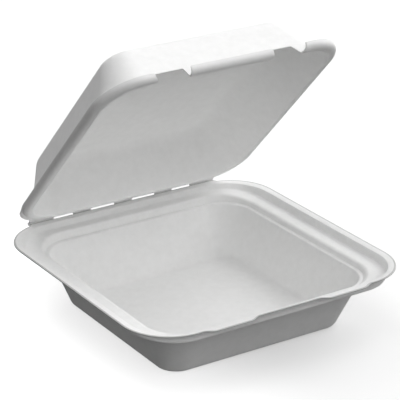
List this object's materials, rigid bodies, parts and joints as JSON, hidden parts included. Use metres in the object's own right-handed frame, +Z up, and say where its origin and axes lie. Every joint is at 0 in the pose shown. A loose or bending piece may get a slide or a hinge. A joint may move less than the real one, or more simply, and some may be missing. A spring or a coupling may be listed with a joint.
{
  "type": "clamshell takeout container",
  "caption": "Square clamshell takeout container of white moulded fibre: a tray with a stepped rim and front tabs, and a domed lid half open on a slotted fold along the back.",
  "frame": {"origin": "centre of the tray's flat underside", "axes": "+Z up, +X along the hinge, +Y towards the hinge at the back"},
  "size_m": [0.228, 0.2382, 0.2171],
  "materials": {
    "moulded_fibre": "matte, faintly fibrous"
  },
  "bodies": {
    "tray": {"base_tray": "moulded_fibre"},
    "lid": {"lid": "moulded_fibre"}
  },
  "joints": [
    {"name": "lid_hinge", "type": "hinge", "parent": "tray", "child": "lid", "pos_m": [0, 0.1153, 0.05065], "axis": [-1, 0, 0], "range_deg": [-46.2, 133.8]}
  ]
}
